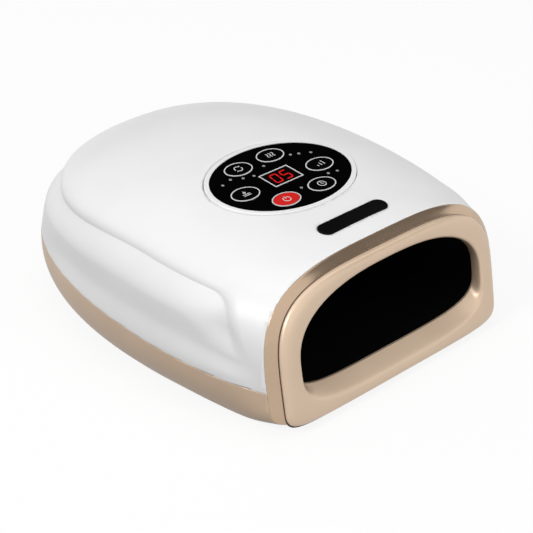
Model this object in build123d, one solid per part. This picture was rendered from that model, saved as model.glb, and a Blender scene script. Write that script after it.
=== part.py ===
"""Hand massager with air bladders, a heater and a control panel. Millimetres, +Z up, mouth faces -Y."""
from build123d import *
import math
import os

os.makedirs("parts", exist_ok=True)

# Whole case
case_length = 240.6
case_width = 197.0
rear_reach = 151.0
nose_reach = 173.5
top_height = 88.4
top_slope = 0.09
widest_height = 26.8
foot_height = 1.2
lip_lean = 1.4
shell_wall = 2.4
rear_plan_power = 2.31
front_plan_power = 1.9
side_power = 3.38
rear_side_power = 2.05
base_power = 2.3
front_roll_under = 9.0
rear_roll_under = 16.5
roll_under_run = 77.0
parting_height = 29.8
parting_slope_deg = 2.9

# Raised cap, fender and side valley, as shares of the height above the widest line
crease_share = 0.7
crease_step = 1.5
crease_front_setback = 42.7
crease_front_run = 5.0
crease_front_lean = 0.8
fender_share = 0.6
valley_front_share = 0.3
valley_rear_share = 0.53
valley_flare_share = 0.8
valley_setback = 8.7
valley_run = 90.0
valley_fade_run = 26.0
valley_depth = 3.2
low_shares = (0, 0.04, 0.1, 0.2, 0.35, 0.55, 0.78)
high_shares = (0, 0.12, 0.25, 0.38, 0.46, 0.53, 0.6, 0.65, 0.68, 0.7, 0.72, 0.76, 0.82, 0.88, 0.93, 0.965,
               0.985, 0.997, 0.9995)
plan_points = 37
outline_points = 72
outline_tries = 40

# Mouth, measured along and square to the leaning front face
front_tilt_deg = 9.6
dome_depth = 4.0
gasket_thick = 0.7
gasket_proud = 0.15
gasket_width = 2.4
band_depth = 3.3
band_wall = 2.0
band_spigot = 5.0
band_side_room = 20.2
seam_centre = 21.4
band_top_room = 15.4
seam_upper_power = 3.88
seam_lower_power = 6.0
bezel_side_width = 12.3
rim_centre = 35.0
bezel_top_width = 4.6
rim_below = 24.4
rim_upper_power = 2.5
rim_lower_power = 3.9
rim_edge = 0.4
throat_depth = 7.4
throat_rise = 6.0
throat_narrowing = 0.8
collar_wall = 2.0
collar_length = 1.0
dome_steps = 5

# Clearances and cutting overrun
slip_fit = 0.1
press_fit = 0.05
seat_gap = 0.3
overrun = 60.0

# Control panel, on a plane that follows the top
panel_setback = 89.0
panel_sink = 0.5
lens_half_length = 42.7
lens_half_width = 30.7
lens_thick = 2.0
ring_width = 2.6
ring_proud = 0.35
ledge_overlap = 3.2
ledge_thick = 2.4
ledge_width = 5.0
display_length = 20.2
display_width = 13.4
frame_line = 0.55
trim_proud = 0.25
mask_thick = 5.0
digit_height = 7.6
digit_width = 4.4
digit_pitch = 7.0
segment_width = 0.78
segment_gap = 0.12
segment_depth = 1.2
digit_lean_deg = 8.0
key_half_length = 7.8
key_half_width = 5.2
key_fit = 0.25
key_proud = 0.4
key_travel = 0.6
key_flange = 1.2
key_flange_thick = 1.0
key_rim_width = 0.6
stem_radius = 1.5
stem_length = 3.0
mat_thick = 1.2
mat_skirt = 1.6
collar_height = 0.5
switch_size = 6.0
switch_height = 0.9
switch_button_radius = 1.6
board_thick = 1.6
post_radius = 3.0
post_turn_deg = 35.0
light_radius = 0.85
plate_setback = 37.5
plate_length = 47.5
plate_width = 9.5
plate_thick = 1.15
plate_sink = 0.8

# Hand chamber and its bladders
chamber_front_setback = 43.7
chamber_rear_setback = 82.3
lining_side_room = 38.5
lining_low = 19.6
lining_thick = 1.0
lining_corner = 9.0
lining_power = 5.0
ribbon_x = -10.0
bag_side_thick = 4.0
wall_thick = 2.0
roof_room = 22.4
upper_bag_thick = 4.2
plate_body_thick = 3.0
nub_height = 2.6
nub_radius = 3.2
nub_rows = 5
nub_columns = 5
nub_edge = 11.0
plate_travel = 6.0
guide_radius = 2.5
guide_side_inset = 12.0
guide_front_inset = 24.0
guide_rear_inset = 18.0
guide_head_radius = 4.0
guide_head_thick = 1.4
pad_thick = 4.0
film_thick = 0.5
low_bag_thick = 4.6

# Air pump at the rear left
pump_x = -46.0
pump_setback = 14.5
pump_z = 21.0
can_radius = 12.0
can_length = 31.0
can_wall = 0.9
armature_radius = 9.0
armature_length = 20.0
shaft_radius = 1.0
eccentric_radius = 4.5
eccentric_throw = 1.2
eccentric_thick = 4.0
head_length = 24.0
head_size = 27.0
head_chamber_depth = 9.0
head_chamber_radius = 8.0
nozzle_radius = 2.0
nozzle_length = 5.0
cradle_length = 22.0
cradle_width = 22.0

# Valves, with their plungers and springs
valve_x = 22.0
valve_pitch = 22.0
valve_setback = 20.0
valve_low = 9.0
valve_size = 16.0
valve_height = 26.0
valve_bore = 3.2
valve_floor = 3.0
plunger_length = 12.0
spring_wire = 0.4
spring_turns = 5
manifold_height = 9.0
manifold_margin = 3.0

# Electronics at the rear
cell_radius = 9.2
cell_end_room = 131.8
cell_room = 43.3
cell_z = 23.0
tray_low = 12.0
tray_margin = 1.0
main_board_room = 113.0
main_board_width = 34.0
main_board_setback = 30.3
board_tongue_width = 14.0
board_tongue_end = 3.0
main_board_z = 34.0
board_inset = 4.0
socket_width = 9.0
socket_height = 3.3
socket_depth = 8.0
socket_wall = 0.4
socket_setback = 0.6
hose_radius = 2.4

# Fasteners and feet
boss_radius = 4.2
screw_radius = 1.45
screw_hole = 1.7
screw_head_radius = 2.9
screw_head_height = 2.0
screw_start = 14.0
screw_length = 26.0
screw_pocket = 3.4
small_screw_radius = 0.9
small_head_radius = 1.9
small_head_height = 1.1
small_screw_length = 5.0
foot_radius = 8.0
foot_recess = 0.7

rear_y = case_length / 2
front_y = -case_length / 2 - lip_lean
wide_y = rear_y - rear_reach
half_width = case_width / 2
front_tilt = math.radians(front_tilt_deg)
top_tilt_deg = math.degrees(math.atan(top_slope))
seam_below = seam_centre - foot_height
seam_half_width = half_width - band_side_room
seam_above = top_height - band_top_room - seam_centre
rim_half_width = seam_half_width - bezel_side_width
rim_above = seam_centre + seam_above - bezel_top_width - rim_centre
crease_front = front_y + crease_front_setback
valley_start = front_y + valley_setback
panel_y = front_y + panel_setback
plate_y = front_y + plate_setback
chamber_front = front_y + chamber_front_setback
chamber_rear = rear_y - chamber_rear_setback
lining_half_width = half_width - lining_side_room
roof_low = top_height - roof_room
plate_low = roof_low - 2 * seat_gap - upper_bag_thick - plate_body_thick
lining_high = plate_low - nub_height - 2 * seat_gap
pump_y = chamber_rear + pump_setback
valve_y = chamber_rear + valve_setback
cell_y = rear_y - cell_room
cell_length = case_width - cell_end_room
main_board_y = rear_y - main_board_setback
main_board_length = case_width - main_board_room



def mirrored_places(shares):
    """Pairs of places left and right, from shares of the half width and of the length."""
    return [(side * across * half_width, along * case_length) for side in (-1, 1) for across, along in shares]


boss_places = mirrored_places(((0.77, -0.27), (0.77, 0.02), (0.53, 0.31)))
foot_places = mirrored_places(((0.57, -0.34), (0.4, 0.26)))
floor_places = mirrored_places(((0.5, -0.28), (0.5, 0.08)))


# Shared shapes
on_base = (Align.CENTER, Align.CENTER, Align.MIN)


def smooth(value):
    value = min(max(value, 0.0), 1.0)
    return value * value * (3 - 2 * value)


def block(low, high):
    """Box between two corners."""
    size = [b - a for a, b in zip(low, high)]
    centre = [(a + b) / 2 for a, b in zip(low, high)]
    return Pos(*centre) * Box(*size)


def rod(radius, start, end):
    """Upright cylinder between two heights, at (x, y)."""
    x, y, low = start
    return Pos(x, y, low) * Cylinder(radius, end - low, align=on_base)


def bar(radius, start, length):
    """Cylinder along +X from a start point."""
    return Pos(*start) * Rot(0, 90, 0) * Cylinder(radius, length, align=on_base)


def oval(half_x, half_y, low, high):
    """Elliptical plate between two local heights."""
    return extrude(Pos(0, 0, low) * Ellipse(half_x, half_y), amount=high - low)


def save(name, *solids):
    """Write one node; a group of separate solids shares it."""
    found = []
    for solid in solids:
        found.extend(solid.solids())
    export_step(found[0] if len(found) == 1 else Compound(found), f"parts/{name}.step")


# Hull of the case


def ceiling(y, inset):
    return top_height + top_slope * y - inset


def plan_point(angle, scale, inset):
    """Plan outline at an angle, with its share of the rear reach."""
    across, along = math.cos(angle), math.sin(angle)
    power = rear_plan_power if along >= 0 else front_plan_power
    reach = (rear_reach if along >= 0 else nose_reach) - inset
    radius = scale * (abs(across) ** power + abs(along) ** power) ** (-1 / power)
    return (half_width - inset) * radius * across, wide_y + reach * radius * along, max(radius * along, 0)


def level_height(share, y):
    return widest_height + (ceiling(y, 0) - widest_height) * share


def side_dent(share, y):
    """How far the side lies inside the plain hull: cap step, fender and valley."""
    if share >= crease_share:
        return 0
    valley = valley_front_share
    valley += (valley_rear_share - valley_front_share) * smooth((y - valley_start) / valley_run)
    band_y = front_y + (dome_depth + gasket_thick + band_depth) / math.cos(front_tilt)
    ahead = y - band_y - level_height(share, y) * math.tan(front_tilt)
    depth = valley_depth * smooth(ahead / valley_fade_run)
    if share <= valley:
        return depth * (1 - smooth((valley - share) / (valley * valley_flare_share)))
    drop = (crease_share - share) / (crease_share - valley)
    lean = level_height(crease_share, y) - level_height(share, y)
    step = crease_step * smooth((y - crease_front + lean * crease_front_lean) / crease_front_run)
    dip = smooth((drop - fender_share / 2) / (1 - fender_share / 2))
    return step * (1 - smooth(drop / fender_share)) + depth * dip


def tuck(y):
    eased = smooth((y - front_y) / roll_under_run)
    return front_roll_under + (rear_roll_under - front_roll_under) * eased


def low_scale(level, y):
    """Plan scale at a level below the widest line, 0 at the foot and 1 at that line."""
    down = 1 - level
    return 1 - tuck(y) / half_width * (1 - (1 - down ** base_power) ** (1 / base_power))


def low_point(angle, level, inset):
    _, y, _ = plan_point(angle, 1, inset)
    x, y, _ = plan_point(angle, low_scale(level, y), inset)
    bottom = foot_height + inset
    return x, y, bottom + (widest_height - bottom) * level


def high_point(angle, share, inset):
    scale = 1
    for _ in range(5):
        _, y, rear_share = plan_point(angle, scale, inset)
        power = side_power + (rear_side_power - side_power) * rear_share ** 2
        scale = (1 - share ** power) ** (1 / power) - side_dent(share, y) / half_width
    x, y, _ = plan_point(angle, scale, inset)
    return x, y, widest_height + (ceiling(y, inset) - widest_height) * share


def hull(inset):
    """Closed hull of the case, moved in by an inset."""
    steps = [index / (plan_points - 1) for index in range(plan_points)]
    angles = [math.pi * (step - 0.5) for step in steps]
    rows = [[low_point(angle, level, inset) for angle in angles] for level in low_shares]
    rows += [[high_point(angle, share, inset) for angle in angles] for share in high_shares]
    wires = []
    for row in rows:
        row[0] = (0, row[0][1], row[0][2])
        row[-1] = (0, row[-1][1], row[-1][2])
        wires.append(Wire([Edge.make_spline([Vector(*point) for point in row], parameters=steps)]))
    half = Shell.make_loft(wires, ruled=False).faces()[0]
    other = half.mirror(Plane.YZ)
    ends = []
    for row in (rows[0], rows[-1]):
        x, y, z = row[len(row) // 2]
        right = min(half.edges(), key=lambda edge: (Vector(x, y, z) - edge.position_at(0.5)).length)
        left = min(other.edges(), key=lambda edge: (Vector(-x, y, z) - edge.position_at(0.5)).length)
        ends.append(Face(Wire([right, left])))
    return Solid(Shell([half, other] + ends))


def hull_reach(y, z, inset):
    """Half width of the plain hull at a station and height, moved in by an inset."""
    power = rear_plan_power if y >= wide_y else front_plan_power
    share = abs(y - wide_y) / ((rear_reach if y >= wide_y else nose_reach) - inset)
    bottom = foot_height + inset
    if z >= widest_height:
        rise = (z - widest_height) / (ceiling(y, inset) - widest_height)
        scale = max(1 - rise ** side_power, 0) ** (1 / side_power) if rise < 1 else 0
    else:
        level = (z - bottom) / (widest_height - bottom)
        scale = low_scale(level, y) if level >= 0 else 0
    return (half_width - inset) * max(scale ** power - share ** power, 0) ** (1 / power)


# Outlines on the leaning front face


def front_plane(depth):
    """Plane of the front face, moved back by a depth."""
    normal = (0, -math.cos(front_tilt), math.sin(front_tilt))
    origin = (0, front_y + depth * math.cos(front_tilt), -depth * math.sin(front_tilt))
    return Plane(origin=origin, x_dir=(1, 0, 0), z_dir=normal)


def outline_angles():
    return [2 * math.pi * (index + 0.5) / outline_points for index in range(outline_points)]


def super_oval(half, centre, above, below, upper_power, lower_power):
    """Points of an oval whose upper and lower halves have their own height and squareness."""
    points = []
    for angle in outline_angles():
        across, up = math.cos(angle), math.sin(angle)
        power, height = (upper_power, above) if up >= 0 else (lower_power, below)
        radius = (abs(across) ** power + abs(up) ** power) ** (-1 / power)
        points.append((half * radius * across, centre + height * radius * up))
    return points


def seam_outline(grow):
    return super_oval(seam_half_width + grow, seam_centre, seam_above + grow, seam_below + grow,
                      seam_upper_power, seam_lower_power)


def rim_outline(grow):
    return super_oval(rim_half_width + grow, rim_centre, rim_above + grow, rim_below + grow,
                      rim_upper_power, rim_lower_power)


def throat_outline(grow):
    middle = rim_centre + throat_rise / 2
    return super_oval(rim_half_width - throat_narrowing + grow, middle,
                      rim_above - throat_rise / 2 - throat_narrowing + grow,
                      rim_below - throat_rise / 2 + grow, rim_upper_power, rim_lower_power)


def hull_outline(depth, inset):
    """Outline of the hull where the front plane cuts it, found along rays from the seam's centre."""
    plane = front_plane(depth)
    points = []
    for across, up in seam_outline(0):
        low, high = 0, 2
        for _ in range(outline_tries):
            scale = (low + high) / 2
            spot = plane.from_local_coords((across * scale, seam_centre + (up - seam_centre) * scale, 0))
            inside = abs(spot.X) < hull_reach(spot.Y, spot.Z, inset)
            low, high = (scale, high) if inside else (low, scale)
        points.append((across * low, seam_centre + (up - seam_centre) * low))
    return points


def front_wire(points, depth):
    steps = [index / len(points) for index in range(len(points) + 1)]
    flat = [front_plane(depth).from_local_coords((x, y, 0)) for x, y in points]
    return Wire([Edge.make_spline(flat, periodic=True, parameters=steps)])


def front_slab(points, front, back):
    """Straight-sided solid between two depths."""
    return Solid.make_loft([front_wire(points, front), front_wire(points, back)], ruled=True)


def hull_slab(inset, front, back):
    """Plug that follows the hull between two depths, moved in by an inset."""
    wires = [front_wire(hull_outline(depth, inset), depth) for depth in (front, back)]
    return Solid.make_loft(wires, ruled=True)


def rolled_slab(back_points, front_points, front, back):
    """Solid whose side rolls over from the back outline to the front outline in a quarter ellipse."""
    wires = []
    for index in range(dome_steps):
        turn = math.pi / 2 * index / (dome_steps - 1)
        share = math.cos(turn)
        points = [(fx + (bx - fx) * share, fy + (by - fy) * share)
                  for (bx, by), (fx, fy) in zip(back_points, front_points)]
        wires.append(front_wire(points, back + (front - back) * math.sin(turn)))
    return Solid.make_loft(wires, ruled=False)


def behind_front(depth):
    """Everything behind the front plane at a depth."""
    size = case_length + overrun
    return front_plane(depth).location * Box(case_width + overrun, size, size,
                                             align=(Align.CENTER, Align.CENTER, Align.MAX))


def above_parting(lift):
    size = case_length + overrun
    place = Location((0, 0, parting_height + lift), (parting_slope_deg, 0, 0))
    return place * Box(size, size, size, align=on_base)


# Casing

seam_back = dome_depth + gasket_thick
band_back = seam_back + band_depth
panel_z = ceiling(panel_y, 0) - panel_sink
panel = Plane(origin=(0, panel_y, panel_z), x_dir=(1, 0, 0),
              z_dir=(0, -math.sin(math.radians(top_tilt_deg)), math.cos(math.radians(top_tilt_deg))))
ledge_low = -lens_thick - ledge_thick
ring_half_length = lens_half_length + ring_width
ring_half_width = lens_half_width + ring_width
post_half_x = ring_half_length - ledge_width / 2
post_half_y = ring_half_width - ledge_width / 2
post_turn = math.radians(post_turn_deg)
post_places = [(sx * post_half_x * math.cos(post_turn), sy * post_half_y * math.sin(post_turn))
               for sx in (-1, 1) for sy in (-1, 1)]
stem_bottom = -lens_thick - seat_gap - key_flange_thick - stem_length
switch_top = stem_bottom - key_travel - seat_gap
board_top = switch_top - switch_height
mat_top = -lens_thick - seat_gap - key_flange_thick - key_travel - collar_height - seat_gap
floor_top = foot_height + shell_wall
chamber_floor_low = lining_low - seat_gap - pad_thick - seat_gap - film_thick - seat_gap - low_bag_thick
chamber_floor_low -= seat_gap + wall_thick
wall_inside = lining_half_width + seat_gap + bag_side_thick + seat_gap
wall_outside = wall_inside + wall_thick
board_post_x = main_board_length / 2 - board_inset
board_post_y = main_board_width / 2 - board_inset
board_posts = [(side * board_post_x, main_board_y + shift)
               for side in (-1, 1) for shift in (-board_post_y, board_post_y)]


tray_posts = [(side * cell_length / 3, cell_y + shift) for side in (-1, 1) for shift in (0, cell_radius * 2)]
socket_z = main_board_z - socket_height / 2


def parting_at(y):
    return parting_height + y * math.tan(math.radians(parting_slope_deg))


def on_panel(shape):
    return panel.location * shape


def casing():
    """Upper and lower shells, cut from one hull and one inner hull."""
    outer = hull(0) & behind_front(band_back)
    inner = hull(shell_wall)
    upper_bosses = [rod(boss_radius, (x, y, parting_at(y) + slip_fit), top_height + overrun)
                    for x, y in boss_places]
    lower_bosses = [rod(boss_radius, (x, y, 0), parting_at(y) - slip_fit) for x, y in boss_places]
    floor_posts = [rod(boss_radius, (x, y, 0), chamber_floor_low) for x, y in floor_places]
    floor_posts += [rod(post_radius, (x, y, 0), main_board_z) for x, y in board_posts]
    floor_posts += [rod(post_radius, (x, y, 0), tray_low) for x, y in tray_posts]
    upper_inner = inner - on_panel(panel_seat())
    for boss in upper_bosses:
        upper_inner -= boss
    lower_inner = inner
    for boss in lower_bosses + floor_posts:
        lower_inner -= boss

    upper = (outer & above_parting(0)) - upper_inner
    upper -= on_panel(oval(ring_half_length + press_fit, ring_half_width + press_fit, -lens_thick, overrun))
    ledge_length, ledge_across = lens_half_length - ledge_overlap, lens_half_width - ledge_overlap
    upper -= on_panel(oval(ledge_length, ledge_across, board_top, overrun))
    upper -= plate_recess()
    pilot_top = screw_start + screw_length + slip_fit
    for x, y in boss_places:
        upper -= rod(screw_radius + press_fit, (x, y, 0), pilot_top)

    lower = (outer - above_parting(0)) - lower_inner
    for x, y in boss_places:
        lower -= rod(screw_hole, (x, y, 0), overrun)
        lower -= rod(screw_pocket, (x, y, 0), screw_start)
    for x, y in foot_places:
        lower -= rod(foot_radius + press_fit, (x, y, 0), foot_height + foot_recess)
    lower -= socket_opening(slip_fit)
    save("upper_shell", upper)
    save("lower_shell", lower)


def panel_seat():
    """Ledge under the panel, with four posts for the control board, drawn through the top wall."""
    window = oval(lens_half_length - ledge_overlap, lens_half_width - ledge_overlap, -overrun, overrun)
    seat = oval(ring_half_length + slip_fit, ring_half_width + slip_fit, ledge_low, overrun) - window
    for x, y in post_places:
        post = Pos(x, y, board_top) * Cylinder(post_radius, overrun, align=on_base)
        post -= window
        seat += post
        seat -= Pos(x, y, board_top) * Cylinder(small_screw_radius + press_fit, small_screw_length * 2)
    return seat


def socket_opening(gap):
    half = socket_width / 2 + gap
    high = socket_height / 2 + gap
    return block((-half, rear_y - socket_depth, socket_z - high), (half, rear_y + overrun, socket_z + high))


def feet():
    top = foot_height + foot_recess - press_fit
    save("rubber_feet", *[rod(foot_radius, (x, y, 0), top) for x, y in foot_places])


def case_screws():
    screws = []
    for x, y in boss_places:
        shank = rod(screw_radius, (x, y, screw_start - screw_head_height), screw_start + screw_length)
        screws.append(shank + rod(screw_head_radius, (x, y, screw_start - screw_head_height), screw_start))
    save("case_screws", *screws)


# Mouth


def mouth_band():
    """Bright band round the mouth, with a spigot inside the shells."""
    inset = shell_wall + 2 * seat_gap
    bore_back = band_back - band_depth / 3
    ring = rolled_slab(hull_outline(band_back, 0), seam_outline(0), seam_back, band_back)
    ring += hull_slab(inset, band_back, band_back + band_spigot)
    ring -= front_slab(seam_outline(-gasket_width), seam_back - overrun / 2, bore_back)
    ring -= hull_slab(inset + band_wall, bore_back, band_back + band_spigot + band_wall)
    save("mouth_band", ring)


def seam_gasket():
    ring = front_slab(seam_outline(gasket_proud), dome_depth, seam_back)
    save("seam_gasket", ring - front_slab(seam_outline(-gasket_width), 0, overrun))


def mouth_bezel():
    collar_back = throat_depth + collar_length
    body = rolled_slab(seam_outline(0), rim_outline(0), 0, dome_depth)
    lip_back = band_back - band_depth / 3
    body += front_slab(seam_outline(-gasket_width - slip_fit), dome_depth - press_fit, lip_back)
    body += front_slab(throat_outline(collar_wall), dome_depth, collar_back)
    wide_end = front_wire(rim_outline(rim_edge), -press_fit)
    narrow_end = front_wire(throat_outline(0), throat_depth)
    flare = Solid.make_loft([wide_end, narrow_end], ruled=True)
    body -= flare
    body -= front_slab(throat_outline(0), throat_depth - press_fit, collar_back + overrun)
    save("mouth_bezel", body)


# Control panel


def key_places():
    """Key centres round the display, as shares of its length and width."""
    shares = {"mode_key": (-0.65, 1.39), "heat_key": (0.52, 1.43), "level_key": (1.24, -0.26),
              "timer_key": (0.55, -1.41), "power_key": (-0.705, -1.385), "pressure_key": (-1.36, -0.15)}
    return {name: (sx * display_length, sy * display_width) for name, (sx, sy) in shares.items()}


def light_places():
    """Indicator dots in small groups between the keys, as shares of the display."""
    shares = [(-1.52, 0.86), (-1.17, 1.0), (-0.86, 0.78), (-0.55, 0.66), (0.0, -1.12), (0.0, 0.98),
              (0.98, 0.98), (1.2, 0.84), (1.5, 0.62), (1.08, -0.98), (1.36, -1.06)]
    return [(sx * display_length, sy * display_width) for sx, sy in shares]


def panel_lens():
    lens = oval(lens_half_length - press_fit, lens_half_width - press_fit, -lens_thick, 0)
    for x, y in key_places().values():
        lens -= Pos(x, y) * oval(key_half_length + key_fit, key_half_width + key_fit, -overrun, overrun)
    for x, y in light_places():
        lens -= Pos(x, y) * Cylinder(light_radius + press_fit, overrun)
    lens -= Box(display_length - frame_line, display_width - frame_line, overrun)
    save("panel_lens", on_panel(lens))


def panel_ring():
    ring = oval(ring_half_length, ring_half_width, -lens_thick, ring_proud)
    ring = chamfer(ring.edges().group_by(Axis.Z)[-1], ring_proud)
    save("panel_ring", on_panel(ring - oval(lens_half_length, lens_half_width, -overrun, overrun)))


def panel_trim():
    frame = Box(display_length, display_width, trim_proud, align=on_base)
    inner_length = display_length - 2 * frame_line
    frame -= Box(inner_length, display_width - 2 * frame_line, overrun)
    save("display_frame", on_panel(frame))
    rims = []
    for x, y in key_places().values():
        inner = key_fit + press_fit
        outer = inner + key_rim_width
        rim = oval(key_half_length + outer, key_half_width + outer, 0, trim_proud)
        rim -= oval(key_half_length + inner, key_half_width + inner, -overrun, overrun)
        rims.append(on_panel(Pos(x, y) * rim))
    save("key_rims", *rims)
    lights = [on_panel(Pos(x, y, -lens_thick) * Cylinder(light_radius, lens_thick + press_fit,
                                                         align=on_base))
              for x, y in light_places()]
    save("indicator_lights", *lights)


def segment_places(digit):
    """Lit segments of one digit as (x, y, upright) in digit sizes."""
    half = digit_height / 4
    side = digit_width / 2
    where = {"top": (0, 2 * half, False), "middle": (0, 0, False), "bottom": (0, -2 * half, False),
             "upper_left": (-side, half, True), "upper_right": (side, half, True),
             "lower_left": (-side, -half, True), "lower_right": (side, -half, True)}
    lit = {0: ("top", "bottom", "upper_left", "upper_right", "lower_left", "lower_right"),
           5: ("top", "middle", "bottom", "upper_left", "lower_right")}
    return [where[name] for name in lit[digit]]


def segment(x, y, upright, grow):
    """One six-sided segment, leaned like the display's digits."""
    run = (digit_height / 2 if upright else digit_width) / 2 - segment_gap + grow
    wide = segment_width / 2 + grow
    outline = [(-run, 0), (wide - run, wide), (run - wide, wide),
               (run, 0), (run - wide, -wide), (wide - run, -wide)]
    if upright:
        outline = [(b, a) for a, b in outline]
    lean = math.tan(math.radians(digit_lean_deg))
    leaned = [(x + a + (y + b) * lean, y + b) for a, b in outline]
    return extrude(make_face(Polyline(*leaned, close=True)), amount=segment_depth)


def display():
    mask_top = -press_fit
    smaller = frame_line + 2 * slip_fit
    body = Box(display_length - smaller, display_width - smaller, mask_thick,
               align=(Align.CENTER, Align.CENTER, Align.MAX))
    body = Pos(0, 0, mask_top) * body
    lit = []
    for centre, digit in ((-digit_pitch / 2, 0), (digit_pitch / 2, 5)):
        for x, y, upright in segment_places(digit):
            lift = Pos(centre, 0, mask_top - segment_depth)
            body -= lift * segment(x, y, upright, press_fit)
            lit.append(on_panel(lift * segment(x, y, upright, 0)))
    save("display_module", on_panel(body))
    save("lit_digits", *lit)


def keys():
    flange_top = -lens_thick - seat_gap
    flange_low = flange_top - key_flange_thick
    for name, (x, y) in key_places().items():
        cap = oval(key_half_length, key_half_width, flange_low, key_proud)
        cap = fillet(cap.edges().group_by(Axis.Z)[-1], key_proud / 2)
        cap += oval(key_half_length + key_flange, key_half_width + key_flange, flange_low, flange_top)
        cap += Pos(0, 0, stem_bottom) * Cylinder(stem_radius, stem_length + key_flange_thick,
                                                 align=on_base)
        save(name, on_panel(Pos(x, y) * cap))


def key_mat():
    half_x = lens_half_length - ledge_overlap - slip_fit
    half_y = lens_half_width - ledge_overlap - slip_fit
    mat = oval(half_x, half_y, board_top, mat_top)
    mat -= oval(half_x - mat_skirt, half_y - mat_skirt, board_top - overrun, mat_top - mat_thick)
    for x, y in key_places().values():
        collar = Cylinder(stem_radius + mat_skirt, collar_height, align=on_base)
        mat += Pos(x, y, mat_top) * collar
        mat -= Pos(x, y, mat_top) * Cylinder(stem_radius + seat_gap, overrun)
    mat -= Box(display_length, display_width, overrun)
    save("key_mat", on_panel(mat))


def control_board():
    board = oval(ring_half_length, ring_half_width, board_top - board_thick, board_top)
    for x, y in post_places:
        board -= Pos(x, y) * Cylinder(small_screw_radius + slip_fit, overrun)
    save("control_board", on_panel(board))
    switches = []
    for x, y in key_places().values():
        can = Box(switch_size, switch_size, switch_height / 2, align=on_base)
        can += Cylinder(switch_button_radius, switch_height, align=on_base)
        switches.append(on_panel(Pos(x, y, board_top) * can))
    stand_height = -press_fit - mask_thick - board_top
    stand = Box(display_length / 2, display_width / 2, stand_height, align=on_base)
    switches.append(on_panel(Pos(0, 0, board_top) * stand))
    save("key_switches", *switches)
    screws = []
    low = board_top - board_thick
    for x, y in post_places:
        screw = Pos(x, y, low) * Cylinder(small_screw_radius, small_screw_length,
                                          align=on_base)
        screw += Pos(x, y, low) * Cylinder(small_head_radius, small_head_height,
                                           align=(Align.CENTER, Align.CENTER, Align.MAX))
        screws.append(on_panel(screw))
    save("panel_screws", *screws)


def crown(y):
    """Height of the hull's middle line ahead of its widest station."""
    share = abs(y - wide_y) / nose_reach
    return level_height((1 - share ** side_power) ** (1 / side_power), y)


def plate_plane():
    rise = crown(plate_y + plate_width / 2) - crown(plate_y - plate_width / 2)
    return Plane(origin=(0, plate_y, crown(plate_y)), x_dir=(1, 0, 0), z_dir=(0, -rise, plate_width))


def plate_recess():
    grow = 2 * press_fit
    face = SlotOverall(plate_length + grow, plate_width + grow)
    return plate_plane().location * extrude(Pos(0, 0, -plate_sink) * face, amount=overrun)


def name_plate():
    plate = extrude(Pos(0, 0, -plate_sink) * SlotOverall(plate_length, plate_width), amount=plate_thick)
    plate = fillet(plate.edges().group_by(Axis.Z)[-1], plate_thick / 4)
    save("name_plate", plate_plane().location * plate)


# Hand chamber


def soft_plate(low, high, radius):
    plate = block(low, high)
    return fillet(plate.edges().filter_by(Axis.Z), radius)


def chamber_shell():
    """Rigid floor, sides, back and roof round the hand chamber."""
    floor_high = chamber_floor_low + wall_thick
    front, rear = chamber_front, chamber_rear
    floor = block((-wall_outside, front, chamber_floor_low), (wall_outside, rear, floor_high))
    save("chamber_floor", floor)
    for name, side in (("chamber_left_wall", -1), ("chamber_right_wall", 1)):
        near, far = sorted((side * wall_inside, side * wall_outside))
        save(name, block((near, front, floor_high), (far, rear, roof_low)))
    save("chamber_rear_wall",
         block((-wall_inside, rear - wall_thick, floor_high), (wall_inside, rear, roof_low)))
    roof = block((-wall_outside, front, roof_low), (wall_outside, rear, roof_low + wall_thick))
    for x, y in guide_places():
        roof -= Pos(x, y, roof_low) * Cylinder(guide_radius + slip_fit, overrun)
    save("chamber_roof", roof)


def guide_places():
    across = lining_half_width - guide_side_inset
    stations = (chamber_front + guide_front_inset, chamber_rear - guide_rear_inset)
    return [(side * across, y) for side in (-1, 1) for y in stations]


def tunnel_wire(y, grow):
    """Cross-section of the hand tunnel at a station, upright."""
    middle = (lining_low + lining_high) / 2
    half_high = (lining_high - lining_low) / 2 + grow
    points = super_oval(lining_half_width + grow, middle, half_high, half_high, lining_power, lining_power)
    steps = [index / len(points) for index in range(len(points) + 1)]
    return Wire([Edge.make_spline([Vector(x, y, z) for x, z in points], periodic=True, parameters=steps)])


def tunnel(mouth_grow, grow, rear):
    """Funnel behind the bezel's collar to the tunnel, and the tunnel back to a station."""
    mouth = front_wire(throat_outline(mouth_grow), throat_depth + collar_length + slip_fit)
    return Solid.make_loft([mouth, tunnel_wire(chamber_front, grow), tunnel_wire(rear, grow)], ruled=True)


def hand_lining():
    """Pocket behind the bezel's collar, open above where the plate presses."""
    rear = chamber_rear - wall_thick - seat_gap
    lining = tunnel(collar_wall, 0, rear)
    lining -= tunnel(collar_wall - lining_thick, -lining_thick, rear - lining_thick)
    half = lining_half_width - lining_thick + seat_gap
    lowest = plate_low - plate_travel - seat_gap
    lining -= block((-half, chamber_front - seat_gap, lowest), (half, chamber_rear, lowest + overrun))
    save("hand_lining", lining)


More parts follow.
